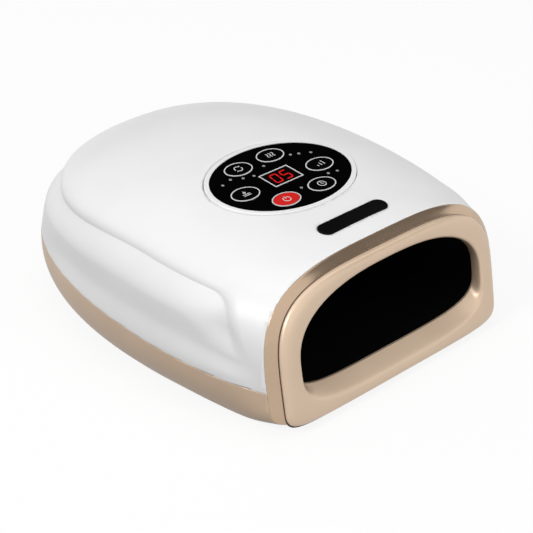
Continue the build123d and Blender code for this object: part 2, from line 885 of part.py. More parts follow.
def press_plate():
    """Plate over the hand with rows of rounded nubs, hung on four guide pins."""
    half = lining_half_width - lining_thick - seat_gap
    rear = chamber_rear - wall_thick - seat_gap
    high = plate_low + plate_body_thick
    plate = soft_plate((-half, chamber_front, plate_low), (half, rear, high), guide_radius)
    first_x, first_y = nub_edge - half, chamber_front + nub_edge
    pitch_x = -2 * first_x / (nub_columns - 1)
    pitch_y = (rear - nub_edge - first_y) / (nub_rows - 1)
    for row in range(nub_rows):
        for column in range(nub_columns):
            x = first_x + column * pitch_x
            y = first_y + row * pitch_y
            nub = Sphere(nub_radius) & Box(overrun, overrun, 2 * nub_height)
            plate += Pos(x, y, plate_low) * nub
    head_low = roof_low + wall_thick + plate_travel + seat_gap
    for x, y in guide_places():
        plate += rod(guide_radius, (x, y, high), head_low + guide_head_thick)
        plate += rod(guide_head_radius, (x, y, head_low), head_low + guide_head_thick)
    save("press_plate", plate)


def bladders():
    """Air bags above, below and beside the hand."""
    front = chamber_front + seat_gap
    rear = chamber_rear - wall_thick - seat_gap
    half = lining_half_width - lining_thick
    low, high = plate_low + plate_body_thick + seat_gap, roof_low - seat_gap
    bag = soft_plate((-half, front, low), (half, rear, high), lining_corner)
    for x, y in guide_places():
        bag -= rod(guide_radius + seat_gap, (x, y, 0), overrun * 2)
    save("upper_airbag", bag)
    low = chamber_floor_low + wall_thick + seat_gap
    save("lower_airbag", soft_plate((-half, front, low), (half, rear, low + low_bag_thick), lining_corner))
    low = lining_low + lining_corner
    for name, side in (("left_airbag", -1), ("right_airbag", 1)):
        near, far = sorted((side * (lining_half_width + seat_gap), side * (wall_inside - seat_gap)))
        bag = block((near, front, low), (far, rear, lining_high))
        save(name, fillet(bag.edges().filter_by(Axis.X), lining_corner))


def heated_bed():
    """Heating film under the palm pad."""
    front = chamber_front + seat_gap
    rear = chamber_rear - wall_thick - seat_gap
    half = lining_half_width - lining_corner
    film_low = lining_low - 2 * seat_gap - pad_thick - film_thick
    save("heater_film",
         soft_plate((-half, front, film_low), (half, rear, film_low + film_thick), lining_corner))
    pad_low = lining_low - seat_gap - pad_thick
    pad = soft_plate((-half, front, pad_low), (half, rear, pad_low + pad_thick), lining_corner)
    save("palm_pad", pad)


# Air pump


def pump():
    """Motor with its armature on the shaft, and the head that the eccentric works in."""
    can = bar(can_radius, (pump_x, pump_y, pump_z), can_length)
    can -= bar(can_radius - can_wall, (pump_x + can_wall, pump_y, pump_z), can_length - 2 * can_wall)
    can -= bar(shaft_radius + press_fit, (pump_x - overrun, pump_y, pump_z), 2 * overrun)
    save("pump_motor_can", can)
    armature_x = pump_x + (can_length - armature_length) / 2
    armature = bar(armature_radius, (armature_x, pump_y, pump_z), armature_length)
    save("pump_armature", armature - bar(shaft_radius, (pump_x, pump_y, pump_z), can_length))
    head_x = pump_x + can_length + seat_gap
    eccentric_x = head_x + can_wall + (head_chamber_depth - eccentric_thick) / 2
    shaft_x = pump_x - can_wall
    shaft = bar(shaft_radius, (shaft_x, pump_y, pump_z), eccentric_x + eccentric_thick - shaft_x)
    save("pump_shaft", shaft)
    eccentric = bar(eccentric_radius, (eccentric_x, pump_y, pump_z + eccentric_throw), eccentric_thick)
    save("pump_eccentric", eccentric - bar(shaft_radius, (pump_x, pump_y, pump_z), case_length))
    half = head_size / 2
    head = block((head_x, pump_y - half, pump_z - half), (head_x + head_length, pump_y + half, pump_z + half))
    head -= bar(head_chamber_radius, (head_x + can_wall, pump_y, pump_z), head_chamber_depth)
    head -= bar(shaft_radius + press_fit, (head_x - overrun, pump_y, pump_z), overrun + can_wall + slip_fit)
    head += rod(nozzle_radius, pump_nozzle(), pump_z + half + nozzle_length)
    save("pump_head", head)
    middle = pump_x + can_length / 2
    cradle = block((middle - cradle_length / 2, pump_y - cradle_width / 2, floor_top + slip_fit),
                   (middle + cradle_length / 2, pump_y + cradle_width / 2, pump_z - can_radius / 3))
    save("pump_cradle", cradle - bar(can_radius + slip_fit, (pump_x, pump_y, pump_z), can_length))


def pump_nozzle():
    return pump_x + can_length + seat_gap + head_length * 3 / 4, pump_y, pump_z + head_size / 2


# Valves


def valve_centres():
    return {"upper": valve_x, "lower": valve_x + valve_pitch}


def valves():
    """Two upright valves, each a plunger on a spring in its bore, under one manifold."""
    top = valve_low + valve_height
    half = valve_size / 2
    for name, x in valve_centres().items():
        body = block((x - half, valve_y - half, floor_top + slip_fit), (x + half, valve_y + half, top))
        body -= rod(valve_bore, (x, valve_y, valve_low + valve_floor), top + overrun)
        save(f"{name}_valve", body)
        plunger_top = top - seat_gap
        plunger_low = plunger_top - plunger_length
        save(f"{name}_plunger", rod(valve_bore - slip_fit, (x, valve_y, plunger_low), plunger_top))
        spring_low = valve_low + valve_floor + spring_wire
        height = plunger_low - spring_low - 2 * spring_wire
        radius = valve_bore - spring_wire - slip_fit
        path = Pos(x, valve_y, spring_low) * Helix(height / spring_turns, height, radius)
        wire = Plane(origin=path @ 0, z_dir=path % 0) * Circle(spring_wire)
        save(f"{name}_valve_spring", sweep(wire, path=path))
    low_x = valve_x - half - manifold_margin
    high_x = valve_x + valve_pitch + half + manifold_margin
    manifold = block((low_x, valve_y - half, top), (high_x, valve_y + half, top + manifold_height))
    for x, y, z in manifold_nozzles():
        manifold += rod(nozzle_radius, (x, y, z), z + nozzle_length)
    save("valve_manifold", manifold)


def manifold_nozzles():
    top = valve_low + valve_height + manifold_height
    step = valve_pitch / 2
    return [(valve_x + step * index - step / 2, valve_y, top) for index in range(4)]


def sleeve(x, y, low):
    """Straight end of a hose, pushed over its nozzle."""
    end = rod(hose_radius, (x, y, low), low + nozzle_length)
    return end - rod(nozzle_radius + press_fit, (x, y, 0), case_width)


def bend(*points):
    """Curved run of a hose, drawn by pull points."""
    path = Bezier(*points)
    ring = Circle(hose_radius) - Circle(nozzle_radius + press_fit)
    return sweep(Plane(origin=path @ 0, z_dir=path % 0) * ring, path=path)


def hoses():
    """Pump to manifold, then manifold to the bags above, beside and below the hand."""
    nozzles = manifold_nozzles()
    x, y, low = pump_nozzle()
    end_x, end_y, end_low = nozzles[0]
    low, end_low = low + seat_gap, end_low + seat_gap
    high, end_high = low + nozzle_length, end_low + nozzle_length
    crest = end_high + valve_size
    top = ((x + end_x) / 2, (y + end_y) / 2, crest)
    hose = bend((x, y, high), (x, y, crest), top) + bend(top, (end_x, end_y, crest), (end_x, end_y, end_high))
    save("pump_hose", hose + sleeve(x, y, low) + sleeve(end_x, end_y, end_low))
    bag_hoses = []
    for index, (x, y, low) in enumerate(nozzles[1:]):
        low += seat_gap
        high = low + nozzle_length
        end_y = chamber_rear + seat_gap
        end_z = roof_low - valve_size / 2 * (index + 1)
        hose = bend((x, y, high), (x, y, high + valve_size), (x, (y + end_y) / 2, end_z), (x, end_y, end_z))
        bag_hoses.append(hose + sleeve(x, y, low))
    save("bag_hoses", *bag_hoses)


# Electronics


def batteries():
    """Two cells on their tray."""
    cells = []
    half = cell_length / 2
    pitch = cell_radius * 2 + seat_gap
    tray = block((-half - tray_margin, cell_y - cell_radius - tray_margin, tray_low),
                 (half + tray_margin, cell_y + pitch + cell_radius + tray_margin, cell_z))
    for index in range(2):
        start = (-half, cell_y + pitch * index, cell_z)
        cell = bar(cell_radius, start, cell_length)
        cells.append(fillet(cell.edges(), cell_radius / 8))
        tray -= bar(cell_radius + slip_fit, (-half - slip_fit, start[1], cell_z), cell_length + 2 * slip_fit)
    save("battery_cells", *cells)
    save("battery_tray", tray)


def main_board():
    half_x, half_y = main_board_length / 2, main_board_width / 2
    high = main_board_z + board_thick
    board = block((-half_x, main_board_y - half_y, main_board_z), (half_x, main_board_y + half_y, high))
    board += block((-board_tongue_width / 2, main_board_y, main_board_z),
                   (board_tongue_width / 2, rear_y - shell_wall - board_tongue_end, high))
    save("main_board", board)
    top = main_board_z + board_thick
    chip = switch_size * 2
    parts = [block((-chip / 2, main_board_y - chip / 2, top),
                   (chip / 2, main_board_y + chip / 2, top + board_thick))]
    for side in (-1, 1):
        x = side * half_x / 2
        parts.append(rod(switch_size / 2, (x, main_board_y, top), top + chip))
        near, low_y = x + side * chip / 2, main_board_y - half_y
        parts.append(block((near, low_y, top), (near + switch_size, low_y + switch_size, top + switch_size)))
    save("board_parts", *parts)


def charge_socket():
    """Flat charging receptacle at the rear, with its tongue."""
    half, high = socket_width / 2, socket_height / 2
    back = rear_y - socket_setback
    low = back - socket_depth
    shell = block((-half, low, socket_z - high), (half, back, socket_z + high))
    shell = fillet(shell.edges().filter_by(Axis.Y), high - socket_wall)
    inner = block((-half + socket_wall, low + socket_wall, socket_z - high + socket_wall),
                  (half - socket_wall, back + overrun, socket_z + high - socket_wall))
    shell -= inner
    shell += block((-half / 2, low, socket_z - socket_wall),
                   (half / 2, back - socket_wall * 2, socket_z + socket_wall))
    save("charge_socket", shell)


def ribbon_cable():
    """Flat cable from the control board, over the chamber roof and down to the main board."""
    start = panel.from_local_coords((0, ring_half_width - ledge_width, board_top - board_thick - film_thick))
    roof_high = roof_low + wall_thick
    points = [(start.Y, start.Z), (chamber_rear - valve_size / 2, roof_high + mat_thick * 2),
              (chamber_rear + ledge_width / 2, roof_high + mat_thick),
              (chamber_rear + valve_size, roof_low - valve_size),
              (main_board_y - main_board_width / 2 + board_inset, main_board_z + board_thick + film_thick)]
    path = Spline(*[(ribbon_x, y, z) for y, z in points], tangents=[(0, 1, top_slope), (0, 1, 0)])
    strip = Plane(origin=path @ 0, x_dir=(1, 0, 0), z_dir=path % 0) * Rectangle(switch_size * 2, film_thick)
    save("ribbon_cable", sweep(strip, path=path))


def main():
    casing()
    feet()
    case_screws()
    mouth_band()
    seam_gasket()
    mouth_bezel()
    panel_lens()
    panel_ring()
    panel_trim()
    display()
    keys()
    key_mat()
    control_board()
    name_plate()
    chamber_shell()
    hand_lining()
    press_plate()
    bladders()
    heated_bed()
    pump()
    valves()
    hoses()
    batteries()
    main_board()
    charge_socket()
    ribbon_cable()


main()
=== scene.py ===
# Hand massager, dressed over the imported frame. Metres in Blender, millimetres in the dictionaries.
import math
import bpy
import bmesh
import numpy as np
from mathutils import Matrix, Vector


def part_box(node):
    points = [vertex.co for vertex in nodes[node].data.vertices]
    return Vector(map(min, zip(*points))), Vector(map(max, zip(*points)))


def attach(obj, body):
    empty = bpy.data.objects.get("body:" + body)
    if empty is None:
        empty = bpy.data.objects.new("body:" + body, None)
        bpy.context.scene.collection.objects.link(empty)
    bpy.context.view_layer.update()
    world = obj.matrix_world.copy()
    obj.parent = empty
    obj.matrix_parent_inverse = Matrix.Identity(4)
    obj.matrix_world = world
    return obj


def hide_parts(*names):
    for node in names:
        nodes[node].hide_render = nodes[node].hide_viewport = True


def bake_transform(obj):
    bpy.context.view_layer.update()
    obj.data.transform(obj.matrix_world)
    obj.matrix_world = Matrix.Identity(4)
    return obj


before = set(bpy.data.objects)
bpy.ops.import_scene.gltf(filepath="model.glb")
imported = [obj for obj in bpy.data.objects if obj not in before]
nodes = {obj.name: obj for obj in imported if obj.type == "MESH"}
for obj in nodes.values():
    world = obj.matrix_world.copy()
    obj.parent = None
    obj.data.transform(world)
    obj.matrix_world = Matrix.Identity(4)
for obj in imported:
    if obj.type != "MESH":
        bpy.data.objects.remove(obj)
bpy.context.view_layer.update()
mm = 0.001
print("frame loaded,", len(nodes), "nodes")


# Camera

view = {"place": (-564.6, -604.4, 483.8), "azimuthDeg": 44.10, "elevationDeg": 29.41,
        "focalPixels": 1720.7, "framePixels": 533, "sensor": 36, "clip": (0.01, 50)}


def addObject(name, data):
    piece = bpy.data.objects.new(name, data)
    bpy.context.scene.collection.objects.link(piece)
    return piece


def objectFrom(name, mesh):
    data = bpy.data.meshes.new(name)
    mesh.to_mesh(data)
    mesh.free()
    return addObject(name, data)


def makeCamera():
    data = bpy.data.cameras.new("camera")
    data.sensor_width = view["sensor"]
    data.lens = view["focalPixels"] / view["framePixels"] * view["sensor"]
    data.clip_start, data.clip_end = view["clip"]
    camera = addObject("camera", data)
    azimuth, elevation = math.radians(view["azimuthDeg"]), math.radians(view["elevationDeg"])
    level = math.cos(elevation)
    back = Vector((-math.sin(azimuth) * level, -math.cos(azimuth) * level, math.sin(elevation)))
    right = Vector((math.cos(azimuth), -math.sin(azimuth), 0))
    turned = Matrix((right, back.cross(right), back)).transposed().to_4x4()
    camera.matrix_world = Matrix.Translation(Vector(view["place"]) * mm) @ turned
    bpy.context.scene.camera = camera


makeCamera()


# Shader maths: a wrapped socket adds and multiplies like a number

class Wired:
    def __init__(self, tree, socket):
        self.tree, self.socket = tree, socket

    def maths(self, operation, other):
        return self.tree.value("ShaderNodeMath", {"operation": operation}, {0: self, 1: other})

    def __add__(self, other):
        return self.maths("ADD", other)

    __radd__ = __add__

    def __mul__(self, other):
        return self.maths("MULTIPLY", other)

    __rmul__ = __mul__


class Tree:
    def __init__(self, holder):
        holder.use_nodes = True
        self.nodes, self.links = holder.node_tree.nodes, holder.node_tree.links
        self.nodes.clear()

    def add(self, kind, settings=None, inputs=None, output=0):
        node = self.nodes.new(kind)
        for name, value in (settings or {}).items():
            setattr(node, name, value)
        for name, value in (inputs or {}).items():
            if isinstance(value, Wired):
                value = value.socket
            if isinstance(value, bpy.types.NodeSocket):
                self.links.new(value, node.inputs[name])
            else:
                node.inputs[name].default_value = value
        return node.outputs[output] if node.outputs else None

    def value(self, *args, **more):
        return Wired(self, self.add(*args, **more))

    def noise(self, scale, detail=3.0, roughness=0.5):
        inputs = {"Vector": self.add("ShaderNodeTexCoord", output="Object"),
                  "Scale": scale, "Detail": detail, "Roughness": roughness}
        return self.value("ShaderNodeTexNoise", None, inputs)

    def between(self, amount, low, high):  # a noise rarely leaves 0.3 to 0.7
        inputs = {"Value": amount, "From Min": 0.3, "From Max": 0.7, "To Min": low, "To Max": high}
        return self.add("ShaderNodeMapRange", None, inputs)

    def blendColour(self, amount, first, second):
        inputs = {0: amount, 6: (*first, 1), 7: (*second, 1)}
        return self.add("ShaderNodeMix", {"data_type": "RGBA"}, inputs, output=2)

    def bump(self, height, strength, distance):
        inputs = {"Height": height, "Strength": strength, "Distance": distance}
        return self.add("ShaderNodeBump", None, inputs)

    def seenRays(self):  # 1 where the camera, a gloss or a glass looks, else 0
        camera, glossy, through = (self.value("ShaderNodeLightPath", output=f"Is {kind} Ray")
                                   for kind in ("Camera", "Glossy", "Transmission"))
        return camera + glossy + through


# Finishes: two close tones, a roughness range and a fine relief each

finishes = {
    "whiteShell": {"tones": ((0.82, 0.82, 0.82), (0.85, 0.85, 0.85)), "rough": (0.32, 0.40),
                   "specular": 0.3, "relief": (900, 0.02)},
    "champagne": {"tones": ((0.62, 0.46, 0.33), (0.67, 0.50, 0.36)), "rough": (0.34, 0.42),
                  "specular": 0.35, "relief": (2600, 0.05)},
    "bezelLacquer": {"tones": ((0.74, 0.56, 0.41), (0.78, 0.60, 0.44)), "rough": (0.35, 0.41),
                     "metal": 0.35, "relief": (2600, 0.05)},
    "rosePlate": {"tones": ((0.55, 0.40, 0.28), (0.60, 0.44, 0.31)), "rough": (0.14, 0.19),
                  "metal": 0.75, "relief": (700, 0.01)},
    "gasket": {"tones": ((0.03, 0.022, 0.018), (0.05, 0.035, 0.028)), "rough": (0.5, 0.7),
               "relief": (1500, 0.1)},
    "footRubber": {"tones": ((0.02, 0.02, 0.02), (0.035, 0.035, 0.035)), "rough": (0.7, 0.85),
                   "relief": (1200, 0.2)},
    "panelGloss": {"tones": ((0.0008, 0.0008, 0.0008), (0.0015, 0.0015, 0.0015)), "rough": (0.10, 0.14),
                   "specular": 0.02, "relief": (300, 0.004)},
    "ringWhite": {"tones": ((0.86, 0.86, 0.86), (0.89, 0.89, 0.89)), "rough": (0.25, 0.32), "coat": 0.4,
                  "relief": (1200, 0.02)},
    "silver": {"tones": ((0.78, 0.78, 0.79), (0.84, 0.84, 0.85)), "rough": (0.22, 0.30), "metal": 0.15,
               "relief": (1800, 0.03)},
    "keyGloss": {"tones": ((0.001, 0.001, 0.001), (0.002, 0.002, 0.002)), "rough": (0.22, 0.30),
                 "specular": 0.02, "relief": (900, 0.01)},
    "keyRed": {"tones": ((0.60, 0.012, 0.010), (0.68, 0.018, 0.014)), "rough": (0.28, 0.36),
               "specular": 0.3, "relief": (900, 0.01)},
    "mask": {"tones": ((0.002, 0.001, 0.001), (0.004, 0.002, 0.002)), "rough": (0.25, 0.35),
             "specular": 0.02, "relief": (900, 0.01)},
    "digitGlow": {"tones": ((0.30, 0.006, 0.005), (0.36, 0.008, 0.006)), "rough": (0.4, 0.5),
                  "specular": 0.05, "glow": (0.50, 0.004, 0.004), "relief": (900, 0.01)},
    "lightPipe": {"tones": ((0.26, 0.26, 0.27), (0.34, 0.34, 0.35)), "rough": (0.4, 0.5),
                  "relief": (900, 0.02)},
    "print": {"tones": ((0.62, 0.62, 0.62), (0.70, 0.70, 0.70)), "rough": (0.5, 0.6),
              "relief": (2500, 0.05)},
    "plateGloss": {"tones": ((0.003, 0.003, 0.003), (0.006, 0.006, 0.006)), "rough": (0.18, 0.24),
                   "specular": 0.05, "relief": (800, 0.01)},
    "board": {"tones": ((0.015, 0.10, 0.04), (0.02, 0.13, 0.05)), "rough": (0.35, 0.5),
              "relief": (900, 0.15)},
    "moulded": {"tones": ((0.035, 0.035, 0.038), (0.05, 0.05, 0.053)), "rough": (0.45, 0.6),
                "relief": (1500, 0.1)},
    "component": {"tones": ((0.015, 0.015, 0.016), (0.03, 0.03, 0.032)), "rough": (0.35, 0.5),
                  "relief": (1500, 0.08)},
    "silicone": {"tones": ((0.50, 0.51, 0.52), (0.57, 0.58, 0.59)), "rough": (0.5, 0.65),
                 "relief": (900, 0.08)},
    "bladder": {"tones": ((0.05, 0.055, 0.06), (0.075, 0.08, 0.085)), "rough": (0.4, 0.6),
                "relief": (260, 0.5)},
    "foam": {"tones": ((0.03, 0.03, 0.033), (0.05, 0.05, 0.053)), "rough": (0.85, 0.95),
             "relief": (900, 0.6)},
    "film": {"tones": ((0.50, 0.22, 0.04), (0.58, 0.27, 0.06)), "rough": (0.3, 0.4), "relief": (500, 0.2)},
    "steel": {"tones": ((0.50, 0.51, 0.53), (0.60, 0.61, 0.63)), "rough": (0.25, 0.38), "metal": 1.0,
              "relief": (1800, 0.08)},
    "copper": {"tones": ((0.45, 0.18, 0.08), (0.56, 0.24, 0.11)), "rough": (0.3, 0.42), "metal": 1.0,
               "relief": (1400, 0.5)},
    "hose": {"tones": ((0.55, 0.57, 0.59), (0.63, 0.65, 0.67)), "rough": (0.3, 0.4), "relief": (600, 0.1)},
    "cellWrap": {"tones": ((0.02, 0.09, 0.30), (0.03, 0.12, 0.36)), "rough": (0.25, 0.35),
                 "relief": (500, 0.1)},
    "ribbonGrey": {"tones": ((0.60, 0.58, 0.52), (0.68, 0.66, 0.60)), "rough": (0.45, 0.55),
                   "relief": (1600, 0.1)},
}


grain = {"broad": (35, 2), "fine": (4, 0.6), "toneMix": (0.7, 0.3), "roughMix": (0.6, 0.4),
         "coatRough": 0.12, "depth": 0.0002, "wear": (60, 3), "weave": (0.5, 0.0004), "weaveBend": 0.6,
         "clothRough": (0.9, 1.0), "clothSpecular": 0.04}


def makeFinish(name, values):
    material = bpy.data.materials.new(name)
    tree = Tree(material)
    scale, relief = values["relief"]
    broad, fine = tree.noise(*grain["broad"]), tree.noise(scale, *grain["fine"])
    most, rest = grain["toneMix"]
    colour = tree.blendColour(tree.between(broad * most + fine * rest, 0, 1), *values["tones"])
    most, rest = grain["roughMix"]
    rough = tree.between(fine * most + broad * rest, *values["rough"])
    inputs = {"Base Color": colour, "Roughness": rough,
              "Metallic": values.get("metal", 0.0), "Specular IOR Level": values.get("specular", 0.5),
              "Coat Weight": values.get("coat", 0.0), "Coat Roughness": grain["coatRough"],
              "Normal": tree.bump(fine, relief, grain["depth"])}
    if "glow" in values:
        inputs["Emission Color"] = (*values["glow"], 1)
        inputs["Emission Strength"] = 1.0
    shader = tree.add("ShaderNodeBsdfPrincipled", None, inputs)
    tree.add("ShaderNodeOutputMaterial", None, {"Surface": shader})
    return material


def makeCloth(name, thread, first, second):
    material = bpy.data.materials.new(name)  # crossed threads from three waves
    tree = Tree(material)
    place = tree.add("ShaderNodeTexCoord", output="Object")
    inputs = {"Vector": place, "Scale": thread, "Distortion": grain["weaveBend"]}
    waves = [tree.value("ShaderNodeTexWave", {"bands_direction": way}, inputs) for way in ("X", "Y", "Z")]
    weave = (waves[0] + waves[1] + waves[2]) * (1 / 3)
    wear = tree.noise(*grain["wear"])
    most, rest = grain["toneMix"]
    colour = tree.blendColour(tree.between(weave * most + wear * rest, 0, 1), first, second)
    inputs = {"Base Color": colour, "Roughness": tree.between(wear, *grain["clothRough"]),
              "Specular IOR Level": grain["clothSpecular"], "Normal": tree.bump(weave, *grain["weave"])}
    shader = tree.add("ShaderNodeBsdfPrincipled", None, inputs)
    tree.add("ShaderNodeOutputMaterial", None, {"Surface": shader})
    return material


looks = {name: makeFinish(name, values) for name, values in finishes.items()}
looks["lining"] = makeCloth("lining", 900, (0.0010, 0.0010, 0.0011), (0.0022, 0.0022, 0.0024))
print("finishes made")


# Hull of the case, the same curve family as the solids

case = {"length": 240.6, "halfWidth": 98.5, "rearReach": 151.0, "noseReach": 173.5, "topHeight": 88.4,
        "topSlope": 0.09, "widest": 26.8, "foot": 1.2, "lipLean": 1.4, "rearPlan": 2.31, "frontPlan": 1.9,
        "side": 3.38, "rearSide": 2.05, "base": 2.0, "frontRoll": 9.0, "rearRoll": 16.5, "rollRun": 77.0,
        "parting": 29.8, "partingSlopeDeg": 2.9, "wall": 2.2, "seamGap": 0.12}
case |= {"creaseShare": 0.697, "creaseDrop": (-25.0, 95.0, 0.145), "creaseStep": 2.7, "creaseRoll": 8.0,
         "creaseFront": -79.0, "creaseFrontLean": 0.5, "creaseCorner": 9.0, "creaseSlant": 1.3,
         "creaseFade": (12.0, 14.0), "fender": 0.6, "dipStart": 0.08, "valleyFront": 0.19,
         "valley": ((-113.0, 70.0, 0.08), (-20.0, 90.0, -0.05)), "valleyFlare": 0.9, "valleyFade": 26.0,
         "valleyRear": (30.0, 50.0, 0.7), "valleyDepth": 2.1}
rowPlan = {"lowRows": 26, "sideStep": 0.012, "sideEnd": 0.01,
           "creaseRows": (-0.006, -0.002, 0, 0.002, 0.006),
           "topStart": 0.012, "topStep": 0.0125, "topEnd": 0.03,
           "columns": ((-26, -8, 0.25), (-8, 188, 1.2), (188, 206, 0.25), (206, 334, 1.2))}
face = {"tiltDeg": 9.6, "dome": 4.0, "gasket": 0.7, "band": 3.3,
        "seam": (78.2, 22.4, 53.0, 19.8, 3.85, 7.0), "bandOut": (84.6, 24.6, 56.0, 23.0, 3.4, 4.6),
        "bandFade": (9.0, 24.0), "throatDepth": 7.4, "rim": (66.0, 35.0, 33.2, 24.2, 2.5, 3.8),
        "throat": (67.6, 38.6, 28.8, 20.2, 2.45, 4.1), "lip": 2.6, "edge": 2.7, "points": 360}
frontY = -case["length"] / 2 - case["lipLean"]
wideY = case["length"] / 2 - case["rearReach"]
tilt = math.radians(face["tiltDeg"])
seamBack = face["dome"] + face["gasket"]
bandBack = seamBack + face["band"]


def smooth(value):
    value = np.clip(value, 0, 1)
    return value * value * (3 - 2 * value)


def planPoint(angle, scale):
    across, along = np.cos(angle), np.sin(angle)
    rear = along >= 0
    power = np.where(rear, case["rearPlan"], case["frontPlan"])
    reach = np.where(rear, case["rearReach"], case["noseReach"])
    radius = scale * (np.abs(across) ** power + np.abs(along) ** power) ** (-1 / power)
    x, y = case["halfWidth"] * radius * across, wideY + reach * radius * along
    return x, y, np.maximum(radius * along, 0)


def ceiling(y):
    return case["topHeight"] + case["topSlope"] * y


def levelHeight(share, y):
    return case["widest"] + (ceiling(y) - case["widest"]) * share


def sideDent(share, y):
    rises = [rise * smooth((y - start) / run) for start, run, rise in case["valley"]]
    valley = case["valleyFront"] + sum(rises)
    crease = creaseLevel(y)
    ahead = y - (frontY + bandBack / math.cos(tilt)) - levelHeight(share, y) * math.tan(tilt)
    start, run, loss = case["valleyRear"]
    depth = case["valleyDepth"] * smooth(ahead / case["valleyFade"])
    depth = depth * (1 - loss * smooth((y - start) / run))
    below = depth * (1 - smooth((valley - share) / (valley * case["valleyFlare"])))
    drop = (crease - share) / (crease - valley)
    dip = smooth((drop - case["dipStart"]) / (1 - case["dipStart"]))
    return np.where(share <= valley, below, depth * dip) + creaseDent(share, y, valley)


def creaseLevel(y):
    start, run, fall = case["creaseDrop"]
    return case["creaseShare"] - fall * smooth((y - start) / run)


def creaseDent(share, y, valley):
    crease = creaseLevel(y)
    drop = levelHeight(crease, y) - levelHeight(share, y)
    lean = case["creaseFrontLean"]
    ahead = (y - case["creaseFront"] + lean * drop) / math.hypot(1, lean)
    under = drop * case["creaseSlant"]
    corner = case["creaseCorner"]  # the crease turns down at its front end on this radius
    mix = np.clip(0.5 + (under - ahead) / (2 * corner), 0, 1)
    inside = under * (1 - mix) + ahead * mix - corner * mix * (1 - mix)
    fender = case["fender"] * (crease - valley) * (ceiling(y) - case["widest"]) * case["creaseSlant"]
    roll = np.clip(1 + inside / case["creaseRoll"], 0, 1) ** 2
    start, run = case["creaseFade"]
    step = case["creaseStep"] * (1 - smooth((drop - start) / run))
    return step * np.where(inside < 0, roll, 1 - smooth(inside / fender))


def outline(shape, grow=0.0):
    half, centre, above, below, upperPower, lowerPower = shape
    angles = 2 * math.pi * (np.arange(face["points"]) + 0.5) / face["points"]
    across, up = np.cos(angles), np.sin(angles)
    power = np.where(up >= 0, upperPower, lowerPower)
    height = np.where(up >= 0, above, below) + grow
    radius = (np.abs(across) ** power + np.abs(up) ** power) ** (-1 / power)
    return np.stack([(half + grow) * radius * across, centre + height * radius * up], 1)


def facePoint(x, up, depth):
    y = frontY + depth * math.cos(tilt) + up * math.sin(tilt)
    return x, y, up * math.cos(tilt) - depth * math.sin(tilt)


def tuckedScale(y, level):
    front, rear = case["frontRoll"], case["rearRoll"]
    tuck = front + (rear - front) * smooth((y - frontY) / case["rollRun"])
    return 1 - tuck / case["halfWidth"] * (1 - (1 - (1 - level) ** case["base"]) ** (1 / case["base"]))


def hullReach(y, z):
    power = np.where(y >= wideY, case["rearPlan"], case["frontPlan"])
    share = np.abs(y - wideY) / np.where(y >= wideY, case["rearReach"], case["noseReach"])
    rise = np.clip((z - case["widest"]) / (ceiling(y) - case["widest"]), 0, 1)
    over = (1 - rise ** case["side"]) ** (1 / case["side"])
    level = np.clip((z - case["foot"]) / (case["widest"] - case["foot"]), 0, 1)
    scale = np.where(z >= case["widest"], over, tuckedScale(y, level))
    reach = case["halfWidth"] * np.maximum(scale ** power - share ** power, 0) ** (1 / power)
    return np.where(z > case["foot"], reach, 0)


def hullOutline(depth, shape):
    low, high = np.zeros(len(shape)), np.full(len(shape), 2.0)
    centre = face["bandOut"][1]
    for _ in range(40):  # halving steps
        scale = (low + high) / 2
        _, y, z = facePoint(0, centre + (shape[:, 1] - centre) * scale, depth)
        inside = np.abs(shape[:, 0] * scale) < hullReach(y, z)
        low, high = np.where(inside, scale, low), np.where(inside, high, scale)
    return np.stack([shape[:, 0] * low, centre + (shape[:, 1] - centre) * low], 1)


def bandFit():
    centre = face["bandOut"][1]
    band = outline(face["bandOut"])
    hull = hullOutline(bandBack, band)
    ratio = np.hypot(band[:, 0], band[:, 1] - centre) / np.hypot(hull[:, 0], hull[:, 1] - centre)
    turns = np.arctan2(band[:, 1] - centre, band[:, 0])
    order = np.argsort(turns)
    return turns[order], ratio[order]


bandTurns, bandRatios = bandFit()


def settle(x, y, z):
    centre = face["bandOut"][1]  # the shells close in on the band over a short run behind it
    depth = (y - frontY) * math.cos(tilt) - z * math.sin(tilt)
    up = (y - frontY) * math.sin(tilt) + z * math.cos(tilt)
    turn = np.arctan2(up - centre, x)
    ratio = np.interp(turn, bandTurns, bandRatios, period=2 * math.pi)
    short, long = face["bandFade"]
    run = short + (long - short) * np.abs(np.cos(turn))
    scale = 1 + (ratio - 1) * (1 - smooth((depth - bandBack) / run))
    return np.stack(facePoint(x * scale, centre + (up - centre) * scale, depth), 1)


def lowRow(angle, level):
    _, y, _ = planPoint(angle, 1)
    x, y, _ = planPoint(angle, tuckedScale(y, level))
    return x, y, np.full_like(x, case["foot"] + (case["widest"] - case["foot"]) * level)


def highRow(angle, row):
    scale = np.ones_like(angle)
    for _ in range(6):  # the row's height and its place in plan settle together
        _, y, rearShare = planPoint(angle, scale)
        power = case["side"] + (case["rearSide"] - case["side"]) * rearShare ** 2
        crease = creaseLevel(y) / case["creaseShare"]  # rows run along the crease
        above = 1 - (1 - row) * (1 - crease * case["creaseShare"]) / (1 - case["creaseShare"])
        share = row * crease if row <= case["creaseShare"] else above
        scale = (1 - share ** power) ** (1 / power) - sideDent(share, y) / case["halfWidth"]
    x, y, _ = planPoint(angle, scale)
    return x, y, levelHeight(share, y)


